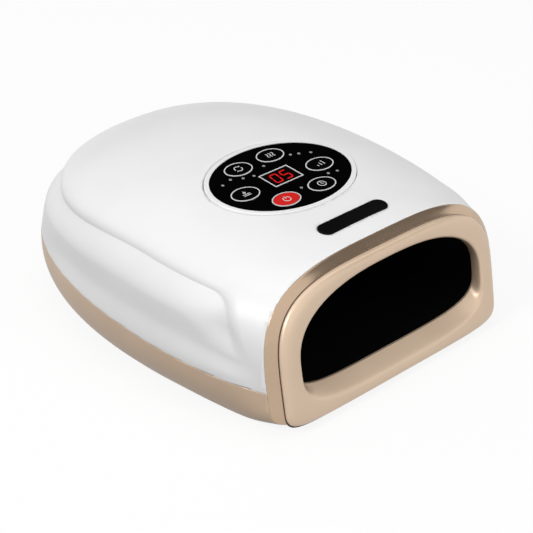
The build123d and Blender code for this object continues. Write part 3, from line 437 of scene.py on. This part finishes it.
def meshFrom(name, rows, closeEnds=False, loop=True):
    mesh = bmesh.new()  # rows of points joined as a smooth grid
    grid = [[mesh.verts.new(Vector(point) * mm) for point in row] for row in rows]
    count = len(grid[0])
    for low, high in zip(grid, grid[1:]):
        for index in range(count if loop else count - 1):
            after = (index + 1) % count
            mesh.faces.new((low[index], low[after], high[after], high[index]))
    if closeEnds:
        for ring in (grid[0], grid[-1]):
            middle = mesh.verts.new(sum((vert.co for vert in ring), Vector()) / count)
            for index in range(count):
                pair = (ring[index], ring[(index + 1) % count])
                mesh.faces.new((*(reversed(pair) if ring is grid[0] else pair), middle))
    bmesh.ops.recalc_face_normals(mesh, faces=mesh.faces)
    for side in mesh.faces:
        side.smooth = True
    return objectFrom(name, mesh)


def hullPiece(name):
    columns = [np.arange(start, end, step) for start, end, step in rowPlan["columns"]]
    angles = np.radians(np.concatenate(columns))
    crease, power = case["creaseShare"], case["side"]
    shares = list(np.arange(0, crease - rowPlan["sideEnd"], rowPlan["sideStep"]))
    shares += list(crease + np.array(rowPlan["creaseRows"]))
    top = (1 - (crease + rowPlan["topStart"]) ** power) ** (1 / power)
    scales = np.arange(top, rowPlan["topEnd"], -rowPlan["topStep"])
    shares += list((1 - scales ** power) ** (1 / power))
    rows = [lowRow(angles, level) for level in np.linspace(0, 1, rowPlan["lowRows"], endpoint=False)]
    rows += [highRow(angles, share) for share in shares]
    return meshFrom(name, [settle(*row) for row in rows], closeEnds=True)


def cut(piece, place, normal, keepBehind=True):
    mesh = bmesh.new()
    mesh.from_mesh(piece.data)
    whole = mesh.verts[:] + mesh.edges[:] + mesh.faces[:]
    bmesh.ops.bisect_plane(mesh, geom=whole, plane_co=Vector(place) * mm, plane_no=normal, dist=1e-7,
                           clear_outer=keepBehind, clear_inner=not keepBehind)
    mesh.to_mesh(piece.data)
    mesh.free()


def carve(piece, *cutters):
    for cutter in cutters:
        tool = piece.modifiers.new("carve", "BOOLEAN")
        tool.operation, tool.solver, tool.object = "DIFFERENCE", "EXACT", cutter
        bpy.context.view_layer.update()
        carved = piece.evaluated_get(bpy.context.evaluated_depsgraph_get())
        shaped = bpy.data.meshes.new_from_object(carved)
        piece.modifiers.clear()
        old, piece.data = piece.data, shaped
        bpy.data.meshes.remove(old)
        bpy.data.objects.remove(cutter)


def ringPoints(halfX, halfY, z, place=None, count=160, square=2.0):
    rows = []
    for index in range(count):
        angle = 2 * math.pi * index / count
        across, along = math.cos(angle), math.sin(angle)
        radius = (abs(across) ** square + abs(along) ** square) ** (-1 / square)
        point = Vector((halfX * radius * across, halfY * radius * along, z))
        rows.append(place @ point if place else point)
    return rows


def planeAt(origin, normal):
    normal = Vector(normal).normalized()
    right = Vector((1, 0, 0))
    turned = Matrix((right, normal.cross(right), normal)).transposed().to_4x4()
    return Matrix.Translation(Vector(origin)) @ turned


# Places of the control panel and the plate on the top

panel = {"y": -32.7, "sink": 0.5, "ring": (45.3, 33.3), "gap": 0.5, "depth": 2.3, "display": (20.2, 13.4)}
topTilt = math.atan(case["topSlope"])
panelSpot = (0, panel["y"], ceiling(panel["y"]) - panel["sink"])
panelPlane = planeAt(panelSpot, (0, -math.sin(topTilt), math.cos(topTilt)))
plate = {"y": -84.2, "length": 47.5, "width": 9.5, "sink": 0.8, "gap": 0.1}


def crown(y):
    share = abs(y - wideY) / case["noseReach"]
    return levelHeight((1 - share ** case["side"]) ** (1 / case["side"]), y)


plateRise = crown(plate["y"] + plate["width"] / 2) - crown(plate["y"] - plate["width"] / 2)
platePlane = planeAt((0, plate["y"], crown(plate["y"])), (0, -plateRise, plate["width"]))


def stadium(length, width, z, place, count=96):
    rows, run, radius = [], (length - width) / 2, width / 2
    for index in range(count):
        angle = 2 * math.pi * (index + 0.5) / count
        x = math.copysign(run, math.cos(angle)) + radius * math.cos(angle)
        rows.append(place @ Vector((x, radius * math.sin(angle), z)))
    return rows


def dress(piece, look, node=None, body="case"):
    piece.data.materials.clear()
    piece.data.materials.append(looks[look])
    if body:
        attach(piece, body)
    if node:
        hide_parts(node)
    return piece


# Shells: the hull cut at the parting plane and behind the band, with openings

shellPlaces = {"screws": ((75.8, -65.0), (75.8, 4.8), (52.2, 74.6)), "screwRadius": 3.4,
               "screwHole": (-5, 14.0), "socket": (9.2, 3.5), "socketZ": 32.35, "socketDeep": 8.0,
               "socketOut": 5, "topOut": 12, "plateUnder": 0.05}
corners = ((-1, -1), (1, -1), (1, 1), (-1, 1))


def upperCutters():
    sizes = [half + panel["gap"] for half in panel["ring"]]
    hole = [ringPoints(*sizes, z, panelPlane) for z in (-panel["depth"], shellPlaces["topOut"])]
    length, width = plate["length"] + plate["gap"], plate["width"] + plate["gap"]
    under = -plate["sink"] - shellPlaces["plateUnder"]
    recess = [stadium(length, width, z, platePlane) for z in (under, shellPlaces["topOut"])]
    return meshFrom("panelCutter", hole, True), meshFrom("plateCutter", recess, True)


def lowerCutters():
    wide, high = shellPlaces["socket"]
    rear, middle, radius = case["length"] / 2, shellPlaces["socketZ"], shellPlaces["screwRadius"]
    socket = [[(x * wide / 2, y, middle + z * high / 2) for x, z in corners]
              for y in (rear - shellPlaces["socketDeep"], rear + shellPlaces["socketOut"])]
    cutters = [meshFrom("socketCutter", socket, True)]
    for x, y in shellPlaces["screws"]:
        for side in (-1, 1):
            spot = Matrix.Translation((side * x, y, 0))
            hole = [ringPoints(radius, radius, z, spot, 32) for z in shellPlaces["screwHole"]]
            cutters.append(meshFrom("screwCutter", hole, True))
    return cutters


def makeShells():
    slope = math.radians(case["partingSlopeDeg"])
    normal = (0, -math.sin(slope), math.cos(slope))
    front = (0, frontY + bandBack * math.cos(tilt), -bandBack * math.sin(tilt))
    outward = (0, -math.cos(tilt), math.sin(tilt))
    upper, lower = hullPiece("upperShellSkin"), hullPiece("lowerShellSkin")
    carve(upper, *upperCutters())
    carve(lower, *lowerCutters())
    for piece, lift, keepBehind, look, slot, node in (
            (upper, case["seamGap"], False, "whiteShell", "white_shell", "upper_shell"),
            (lower, -case["seamGap"], True, "champagne", "champagne_shell", "lower_shell")):
        cut(piece, (0, 0, case["parting"] + lift), normal, keepBehind)
        cut(piece, front, outward)
        wall = piece.modifiers.new("wall", "SOLIDIFY")
        wall.thickness, wall.offset = case["wall"] * mm, -1
        dress(piece, look, node)


makeShells()
print("shells made")


# Mouth: band, gasket and bezel round the opening

mouth = {"inset": 2.4, "behind": (0.985, 0.36), "bandPull": 0.12, "bandBulge": (0.9, 0.5), "bandSteps": 12,
         "edgeSteps": 26, "throatPull": (0.4, 0.45), "throatSteps": 14, "throatWall": 1.8, "collar": 3,
         "gasketOut": 0.05, "gasketDrop": (0.5, 0.9), "gasketBase": 12, "gasketSlack": 0.02}


def faceRow(shape, depth):
    return [facePoint(x, up, depth) for x, up in shape]


def rollRows(back, front, backDepth, frontDepth, steps, power=2.0):
    rows = []  # quarter superellipse from the back outline to the front one
    for turn in np.linspace(0, math.pi / 2, steps):
        share, rise = math.cos(turn) ** (2 / power), math.sin(turn) ** (2 / power)
        rows.append(faceRow(front + (back - front) * share, backDepth + (frontDepth - backDepth) * rise))
    return rows


def bezierRows(outlines, depths, steps):
    rows = []
    for t in np.linspace(0, 1, steps):
        weights = ((1 - t) ** 3, 3 * t * (1 - t) ** 2, 3 * t * t * (1 - t), t ** 3)
        rows.append(faceRow(sum(weight * shape for weight, shape in zip(weights, outlines)),
                            sum(weight * depth for weight, depth in zip(weights, depths))))
    return rows


def makeBand():
    seam, band, pull = outline(face["seam"]), outline(face["bandOut"]), mouth["bandPull"]
    inner = outline(face["seam"], -mouth["inset"])
    scale, lift = mouth["behind"]
    rear, front = mouth["bandBulge"]
    rows = [faceRow(inner, bandBack), faceRow(band * scale + np.array([0, lift]), bandBack)]
    rows += bezierRows((band, band + (seam - band) * pull, seam + (band - seam) * pull, seam),
                       (bandBack, bandBack - rear, seamBack + front, seamBack), mouth["bandSteps"])
    rows.append(faceRow(inner, seamBack))
    dress(meshFrom("mouthBandSkin", rows), "rosePlate", "mouth_band")


def makeBezel():
    seam, rim, throat = outline(face["seam"]), outline(face["rim"]), outline(face["throat"])
    inner, lip = outline(face["seam"], -mouth["inset"]), outline(face["rim"], face["lip"])
    dome, deep = face["dome"], face["throatDepth"]
    pull, depth = mouth["throatPull"]
    rows = [faceRow(inner, dome)] + rollRows(seam, lip, dome, 0, mouth["edgeSteps"], face["edge"])[:-1]
    rows += bezierRows((lip, rim, rim + (throat - rim) * pull, throat), (0, 0, deep * depth, deep),
                       mouth["throatSteps"])
    rows.append(faceRow(outline(face["throat"], mouth["throatWall"]), deep))
    rows.append(faceRow(outline(face["rim"], face["lip"] + mouth["collar"]), dome))
    dress(meshFrom("mouthBezelSkin", rows), "bezelLacquer", "mouth_bezel")


def makeGasket():
    low, high = outline(face["seam"], -mouth["inset"]), outline(face["seam"], mouth["gasketOut"])
    inside, outside = mouth["gasketDrop"]  # it hangs a little lower along the base
    low[:, 1] = low[:, 1] - inside
    high[:, 1] = np.where(high[:, 1] < mouth["gasketBase"], high[:, 1] - outside, high[:, 1])
    dome, slack = face["dome"], mouth["gasketSlack"]
    rows = [faceRow(low, dome), faceRow(high, dome + slack)]
    rows += [faceRow(high, seamBack - slack), faceRow(low, seamBack)]
    dress(meshFrom("seamGasketSkin", rows), "gasket", "seam_gasket")


makeBand()
makeBezel()
makeGasket()
print("mouth made")


# Lining: one cloth tunnel from the bezel's throat to the rear of the chamber

chamber = {"front": -78.5, "rear": 34.9, "half": 59.5, "low": 20.1, "high": 54.5, "power": 5.0,
           "topCut": 51.2, "frontSlack": 0.3, "behindBezel": (0.4, 0.1), "mouthRows": 16, "tunnelRows": 30,
           "endShares": (0.1, 0.3, 0.55, 0.8, 0.97), "fold": (190, 130, 90, 0.2)}


def makeLining():
    middle = (chamber["low"] + chamber["high"]) / 2
    tall = (chamber["high"] - chamber["low"]) / 2
    tunnel = outline((chamber["half"], middle, tall, tall, chamber["power"], chamber["power"]))
    grow, back = chamber["behindBezel"]
    start = np.array(faceRow(outline(face["throat"], grow), face["throatDepth"] + back))
    near = np.array([(x, chamber["front"], z) for x, z in tunnel])
    far = np.array([(x, chamber["rear"], z) for x, z in tunnel])
    end = np.array([0, chamber["rear"], middle])
    rows = [start + (near - start) * share for share in np.linspace(0, 1, chamber["mouthRows"])]
    rows += [near + (far - near) * share for share in np.linspace(0, 1, chamber["tunnelRows"])[1:]]
    rows += [far + (end - far) * share for share in chamber["endShares"]]
    piece = meshFrom("handLining", rows)
    mesh = bmesh.new()
    mesh.from_mesh(piece.data)
    front, top = (chamber["front"] - chamber["frontSlack"]) * mm, chamber["topCut"] * mm
    gone = [side for side in mesh.faces  # open above, where the press plate comes down
            if side.calc_center_median().y > front and max(vert.co.z for vert in side.verts) > top]
    bmesh.ops.delete(mesh, geom=gone, context="FACES")
    alongWave, acrossWave, upWave, height = chamber["fold"]
    for vert in mesh.verts:  # soft folds between the nubs
        fold = math.sin(vert.co.y * alongWave) * math.sin(vert.co.x * acrossWave + vert.co.z * upWave)
        vert.co += Vector((0, 0, height * mm)) * fold
    mesh.to_mesh(piece.data)
    area = sum(side.calc_area() for side in mesh.faces)
    mesh.free()
    dress(piece, "lining", "hand_lining")
    long = (chamber["rear"] - frontY - face["throatDepth"]) * mm
    area / long


# Bladders and pad: round-edged blocks drawn in between their welds

cushion = {"edgeSteps": 14, "edgePower": 0.8, "cornerLoss": 0.4, "inward": (0.9, 0.7, 0.4, 0.1),
           "quilts": 4, "smallestCorner": 0.5, "blendInset": 0.4}


def withAxis(point, axis, value):
    moved = point.copy()
    moved[axis] = value
    return moved


def softBlock(name, node, corner, quilt, look, slot, body="case"):
    low, high = (Vector(point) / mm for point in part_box(node))
    half, middle = (high - low) / 2, (high + low) / 2
    thin = min(range(3), key=lambda axis: half[axis])
    first, second = (axis for axis in range(3) if axis != thin)
    rows, steps = [], cushion["edgeSteps"]
    for step in range(steps + 1):  # the round edge, from the underside up
        turn = -math.pi / 2 + math.pi * step / steps
        shrink = half[thin] * (1 - max(math.cos(turn), 0) ** cushion["edgePower"])
        bend = corner - shrink * cushion["cornerLoss"]
        row = []
        for along, across in roundedLoop(half[first] - shrink, half[second] - shrink, bend):
            point = Vector()
            point[first], point[second], point[thin] = along, across, half[thin] * math.sin(turn)
            row.append(middle + point)
        rows.append(row)
    inner = [[withAxis(middle + (point - middle) * share, thin, point[thin]) for point in rows[-1]]
             for share in cushion["inward"]]
    under = [[withAxis(point, thin, 2 * middle[thin] - point[thin]) for point in row]
             for row in inner[::-1]]
    rows = under + rows + inner
    for row in rows:
        for point in row:
            run = (point[second] - low[second]) / (high - low)[second]
            pull = quilt * math.sin(math.pi * cushion["quilts"] * run) ** 2
            point[thin] += (middle[thin] - point[thin]) * pull
    piece = meshFrom(name, rows, closeEnds=True)
    dress(piece, look, node, body)
    return piece


def roundedLoop(halfX, halfY, corner, count=24):
    corner = max(corner, cushion["smallestCorner"])
    points = []
    for quarter, (sx, sy) in enumerate(((1, 1), (-1, 1), (-1, -1), (1, -1))):
        x, y = sx * (halfX - corner), sy * (halfY - corner)
        for index in range(count):
            angle = math.pi / 2 * (quarter + index / count)
            points.append((x + corner * math.cos(angle), y + corner * math.sin(angle)))
    return points


def makeBladders():
    film = {"look": "bladder", "slot": "bladder_film"}
    top = softBlock("upperBladder", "upper_airbag", corner=9, quilt=0.12, body=None, **film)
    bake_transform(top)
    softBlock("lowerBladder", "lower_airbag", corner=9, quilt=0.12, **film)
    softBlock("leftBladder", "left_airbag", corner=7, quilt=0.1, **film)
    softBlock("rightBladder", "right_airbag", corner=7, quilt=0.1, **film)
    softBlock("palmPad", "palm_pad", corner=9, quilt=0.03, look="foam", slot="pad_foam")


makeLining()
makeBladders()
print("soft pieces made")


# Symbols on the keys: generic marks printed in white

keyPlaces = {"mode_key": (-0.65, 1.39), "heat_key": (0.52, 1.43), "level_key": (1.24, -0.26),
             "timer_key": (0.55, -1.41), "power_key": (-0.705, -1.385), "pressure_key": (-1.36, -0.15)}
marks = {"keyTop": 0.4, "lift": 0.03, "thick": 0.03, "line": 0.5}


def strip(points, width):
    flat = [Vector((x, y, 0)) for x, y in points]
    left, right = [], []
    for index, point in enumerate(flat):
        along = (flat[min(index + 1, len(flat) - 1)] - flat[max(index - 1, 0)]).normalized()
        side = Vector((-along.y, along.x, 0)) * width / 2
        left.append(point + side)
        right.append(point - side)
    return left, right


def arc(x, y, radius, start, end, count=20):
    turns = [math.radians(start + (end - start) * step / count) for step in range(count + 1)]
    return [(x + radius * math.cos(turn), y + radius * math.sin(turn)) for turn in turns]


def wave(x):
    return [(x + 0.5 * math.sin(y * 1.9), y) for y in np.linspace(-1.9, 1.9, 16)]


symbols = {
    "power_key": [arc(0, -0.2, 2.1, 125, 415), [(0, 0.2), (0, 2.4)]],
    "timer_key": [arc(0, 0, 2.3, 0, 360), [(0, 1.5), (0, 0), (1.1, -0.5)]],
    "heat_key": [wave(-1.9), wave(0), wave(1.9)],
    "level_key": [[(x, -1.9), (x, top)] for x, top in ((-2.2, -0.6), (0, 0.7), (2.2, 2.0))],
    "mode_key": [arc(0, 0, 2.2, 40, 190), arc(0, 0, 2.2, 220, 370), [(1.0, 1.9), (1.7, 1.4), (2.3, 2.2)],
                 [(-1.0, -1.9), (-1.7, -1.4), (-2.3, -2.2)]],
    "pressure_key": [[(0, 2.2), (0, 0.4)], [(-0.9, 1.2), (0, 0.3), (0.9, 1.2)], [(-2.4, -0.7), (2.4, -0.7)],
                     [(-2.4, -1.9), (2.4, -1.9)]],
}


def makeMark(name, lines):
    mesh = bmesh.new()
    sx, sy = keyPlaces[name]
    wide, high = panel["display"]
    centre = Vector((sx * wide, sy * high, marks["keyTop"] + marks["lift"]))
    down = Vector((0, 0, -marks["thick"]))
    for line in lines:
        rings = []
        for left, right in zip(*strip(line, marks["line"])):
            ring = (left, right, right + down, left + down)
            rings.append([mesh.verts.new((panelPlane @ (centre + point)) * mm) for point in ring])
        for near, far in zip(rings, rings[1:]):
            for index in range(4):
                after = (index + 1) % 4
                mesh.faces.new((near[index], near[after], far[after], far[index]))
        mesh.faces.new(rings[0][::-1])
        mesh.faces.new(rings[-1])
    bmesh.ops.recalc_face_normals(mesh, faces=mesh.faces)
    dress(objectFrom(name + "Mark", mesh), "print", None, name)


for name, lines in symbols.items():
    makeMark(name, lines)
print("marks made")


# Carried-over nodes get their finish

nodeLooks = {
    "footRubber": ["rubber_feet"],
    "panelGloss": ["panel_lens"],
    "ringWhite": ["panel_ring"],
    "silver": ["display_frame", "key_rims"],
    "keyGloss": ["mode_key", "heat_key", "level_key", "timer_key", "pressure_key"],
    "keyRed": ["power_key"],
    "mask": ["display_module"],
    "digitGlow": ["lit_digits"],
    "lightPipe": ["indicator_lights"],
    "plateGloss": ["name_plate"],
    "board": ["control_board", "main_board"],
    "component": ["key_switches", "board_parts", "pump_head", "upper_valve", "lower_valve"],
    "moulded": ["chamber_floor", "chamber_left_wall", "chamber_right_wall", "chamber_rear_wall",
                "chamber_roof", "press_plate", "pump_cradle", "valve_manifold", "battery_tray"],
    "silicone": ["key_mat"],
    "film": ["heater_film"],
    "copper": ["pump_armature"],
    "hose": ["pump_hose", "bag_hoses"],
    "steel": ["pump_motor_can", "pump_shaft", "pump_eccentric", "upper_plunger", "lower_plunger",
              "upper_valve_spring", "lower_valve_spring", "panel_screws", "case_screws", "charge_socket"],
    "cellWrap": ["battery_cells"],
    "ribbonGrey": ["ribbon_cable"]}
for look, names in nodeLooks.items():
    for name in names:
        nodes[name].data.materials.clear()
        nodes[name].data.materials.append(looks[look])
print("nodes dressed")


# Studio: pale floor, white surround and soft lamps

studio = {"floorSize": 6.0, "floorDrop": 0.0002, "floorWhite": 0.9, "floorGrain": 0.02, "floorSeen": 0.88,
          "bounce": 0.12, "surround": 0.31, "aim": (0, 0, 0.04), "broad": (4, 2), "cardTones": (0.02, 0.03),
          "cards": {"rear": {"place": (1.0, 1.0, 0.85), "size": (2.6, 1.3)},
                    "front": {"place": (0.95, -0.70, 0.90), "size": (1.0, 0.7)}},
          "lamps": {"key": {"place": (-1.6, 0.0, 1.4), "size": 0.9, "power": 24},
                    "top": {"place": (0.1, 0.2, 1.9), "size": 1.6, "power": 10.5},
                    "front": {"place": (0.2, -1.7, 0.4), "size": 0.9, "power": 12}}}
white = (1, 1, 1, 1)


def makeFloor():
    mesh = bmesh.new()
    bmesh.ops.create_grid(mesh, x_segments=8, y_segments=8, size=studio["floorSize"])
    floor = objectFrom("floor", mesh)
    floor.location.z = -studio["floorDrop"]
    material = bpy.data.materials.new("floorPaint")
    tree = Tree(material)
    tone, bounce = studio["floorWhite"], studio["bounce"]
    pale = tree.blendColour(tree.noise(*studio["broad"]), (tone,) * 3, (tone + studio["floorGrain"],) * 3)
    looked = tree.add("ShaderNodeLightPath", output="Is Camera Ray")
    inputs = {0: looked, 6: (*(bounce,) * 3, 1), 7: pale}  # it throws little light back up
    colour = tree.add("ShaderNodeMix", {"data_type": "RGBA"}, inputs, output=2)
    inputs = {"Base Color": colour, "Roughness": 0.9, "Specular IOR Level": 0.1}
    paint = tree.add("ShaderNodeBsdfPrincipled", None, inputs)
    bright = tree.add("ShaderNodeEmission", None, {"Color": white, "Strength": 1.0})
    share = tree.seenRays() * studio["floorSeen"]
    surface = tree.add("ShaderNodeMixShader", None, {0: share, 1: paint, 2: bright})
    tree.add("ShaderNodeOutputMaterial", None, {"Surface": surface})
    floor.data.materials.append(material)


def makeCards():
    material = bpy.data.materials.new("cardPaint")
    tree = Tree(material)
    dark, less = studio["cardTones"]
    colour = tree.blendColour(tree.noise(*studio["broad"]), (dark,) * 3, (less,) * 3)
    paint = tree.add("ShaderNodeBsdfPrincipled", None, {"Base Color": colour, "Roughness": 0.9})
    tree.add("ShaderNodeOutputMaterial", None, {"Surface": paint})
    for name, values in studio["cards"].items():
        data = bpy.data.meshes.new(name + "Card")
        data.from_pydata([(x / 2, y / 2, 0) for x, y in corners], [], [(0, 1, 2, 3)])
        card = addObject(name + "Card", data)  # seen only in the gloss, as its dark side
        place = Vector(values["place"])
        facing = (-place).to_track_quat("Z", "Y").to_matrix().to_4x4()
        card.matrix_world = Matrix.Translation(place) @ facing
        card.scale = (*values["size"], 1)
        card.visible_camera = card.visible_diffuse = card.visible_shadow = False
        card.data.materials.append(material)


def makeSurround():
    world = bpy.data.worlds.new("surround")
    bpy.context.scene.world = world
    tree = Tree(world)
    dim = tree.add("ShaderNodeBackground", None, {"Color": white, "Strength": studio["surround"]})
    bright = tree.add("ShaderNodeBackground", None, {"Color": white, "Strength": 1.0})
    surface = tree.add("ShaderNodeMixShader", None, {0: tree.seenRays(), 1: dim, 2: bright})
    tree.add("ShaderNodeOutputWorld", None, {"Surface": surface})


def makeLamps():
    for name, values in studio["lamps"].items():
        lamp = bpy.data.lights.new(name, "AREA")
        lamp.shape, lamp.size, lamp.energy = "DISK", values["size"], values["power"]
        holder = addObject(name, lamp)
        holder.location = values["place"]
        holder.visible_glossy = name == "key"  # the others give no highlights
        aim = Vector(studio["aim"]) - Vector(values["place"])
        holder.rotation_euler = aim.to_track_quat("-Z", "Y").to_euler()


makeFloor()
makeCards()
makeSurround()
makeLamps()
bpy.context.scene.view_settings.view_transform = "Standard"
print("studio made")
